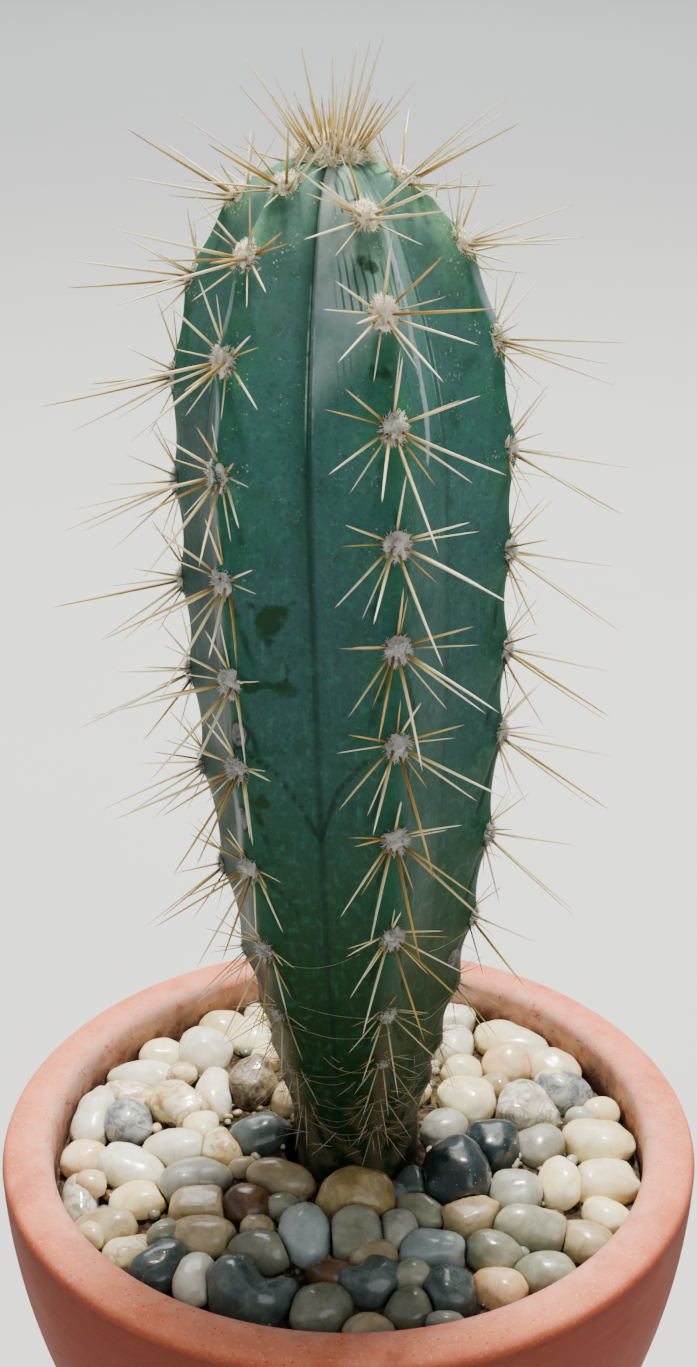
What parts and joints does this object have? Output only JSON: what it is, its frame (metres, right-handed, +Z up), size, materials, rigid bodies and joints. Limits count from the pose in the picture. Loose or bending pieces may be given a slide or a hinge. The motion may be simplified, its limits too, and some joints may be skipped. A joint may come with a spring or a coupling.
{
  "type": "potted torch cactus",
  "caption": "Ribbed blue-green column cactus with tufts of straw-gold spines and a woolly crown, standing in a round clay pot topped with mixed river pebbles.",
  "frame": {"origin": "middle of the pot's flat underside, where it rests", "axes": "+Z up along the pot's axis and the stem, -Y towards the viewer, +X to the viewer's right"},
  "size_m": [0.15, 0.15, 0.3267],
  "materials": {
    "clay": "matte unglazed clay with a grey lime bloom inside the rim",
    "soil": "rough dark potting mix",
    "pebbles_pale": "smooth cream and white river pebbles",
    "pebble_black": "polished blue-black",
    "pebble_slate": "smooth dark slate",
    "pebble_grey": "mottled grey",
    "pebble_amber": "smooth amber brown",
    "pebble_brown": "smooth dark brown",
    "pebble_peach": "smooth peach",
    "cactus_skin": "waxy blue-green skin with grey wool pads and straw-gold spines",
    "crown_wool": "cream wool with golden young spines"
  },
  "bodies": {
    "root": {"pot": "clay", "soil": "soil", "pebble_bed": "pebbles_pale", "stone_blue_black": "pebble_black", "stone_near_black": "pebble_black", "stone_slate_left": "pebble_slate", "stone_slate_big": "pebble_slate", "stone_slate_front": "pebble_slate", "stone_mottled": "pebble_grey", "stone_amber": "pebble_amber", "stone_brown": "pebble_brown", "stone_rough_brown": "pebble_brown", "stone_peach": "pebble_peach", "cactus_stem": "cactus_skin", "crown_tuft": "crown_wool"}
  },
  "joints": []
}
